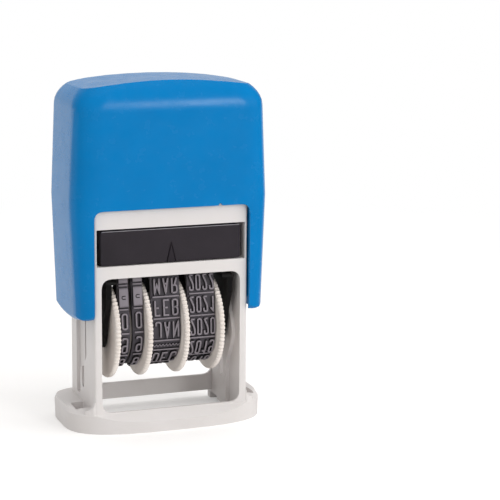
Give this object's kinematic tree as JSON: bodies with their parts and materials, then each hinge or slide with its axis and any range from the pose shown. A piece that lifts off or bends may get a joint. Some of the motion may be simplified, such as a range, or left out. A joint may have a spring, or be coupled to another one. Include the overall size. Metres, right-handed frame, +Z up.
{
  "type": "self-inking date stamp",
  "caption": "Small self-inking date stamp: sprung cap on a frame with a foot, flipping carriage of toothed thumb wheels and rubber date bands, and a pull-out ink pad tray.",
  "frame": {"origin": "on the surface it stands on, under the middle of the foot", "axes": "+Z up, front with the ink pad tray towards -Y, +X to the right seen from the front"},
  "size_m": [0.0482, 0.0264, 0.082],
  "materials": {
    "cap_blue": "glossy moulded blue plastic",
    "frame_grey": "satin light grey moulded plastic",
    "tray_charcoal": "satin charcoal plastic",
    "pad_foam": "ink-soaked pad",
    "carrier_black": "satin black plastic",
    "wheel_cream": "cream plastic with fine teeth",
    "band_rubber": "dark grey moulded rubber",
    "steel": "plain steel wire and pins"
  },
  "bodies": {
    "frame": {"frame": "frame_grey", "return_spring": "steel"},
    "cap": {"cap": "cap_blue", "left_pivot_pin": "steel", "right_pivot_pin": "steel"},
    "pad": {"pad_tray": "tray_charcoal", "ink_pad": "pad_foam"},
    "carriage": {"left_carrier_plate": "carrier_black", "right_carrier_plate": "carrier_black", "type_anvil": "carrier_black", "wheel_axle": "steel", "day_tens_band": "band_rubber", "day_units_band": "band_rubber", "month_band": "band_rubber", "year_band": "band_rubber"},
    "day_tens_wheel": {"day_tens_wheel": "wheel_cream"},
    "day_units_wheel": {"day_units_wheel": "wheel_cream"},
    "month_wheel": {"month_wheel": "wheel_cream"},
    "year_wheel": {"year_wheel": "wheel_cream"}
  },
  "joints": [
    {"name": "cap_slide", "type": "slide", "parent": "frame", "child": "cap", "axis": [0, 0, -1], "range_m": [0, 0.0205], "stiffness_N_per_m": 400, "springref_m": -0.008, "deforming": ["return_spring"]},
    {"name": "carriage_flip", "type": "hinge", "parent": "cap", "child": "carriage", "pos_m": [0, 0, 0.03035], "axis": [-1, 0, 0], "range_deg": [0, 180]},
    {"name": "pad_slide", "type": "slide", "parent": "frame", "child": "pad", "axis": [0, 1, 0], "range_m": [-0.024, 0]},
    {"name": "day_tens_turn", "type": "hinge", "parent": "carriage", "child": "day_tens_wheel", "pos_m": [0, 0, 0.02281], "axis": [1, 0, 0], "continuous": true},
    {"name": "day_units_turn", "type": "hinge", "parent": "carriage", "child": "day_units_wheel", "pos_m": [0, 0, 0.02281], "axis": [1, 0, 0], "continuous": true},
    {"name": "month_turn", "type": "hinge", "parent": "carriage", "child": "month_wheel", "pos_m": [0, 0, 0.02281], "axis": [1, 0, 0], "continuous": true},
    {"name": "year_turn", "type": "hinge", "parent": "carriage", "child": "year_wheel", "pos_m": [0, 0, 0.02281], "axis": [1, 0, 0], "continuous": true}
  ],
  "couplings": [
    {"joint": "carriage_flip", "follows": "cap_slide", "rad_per_m": 153.25}
  ]
}
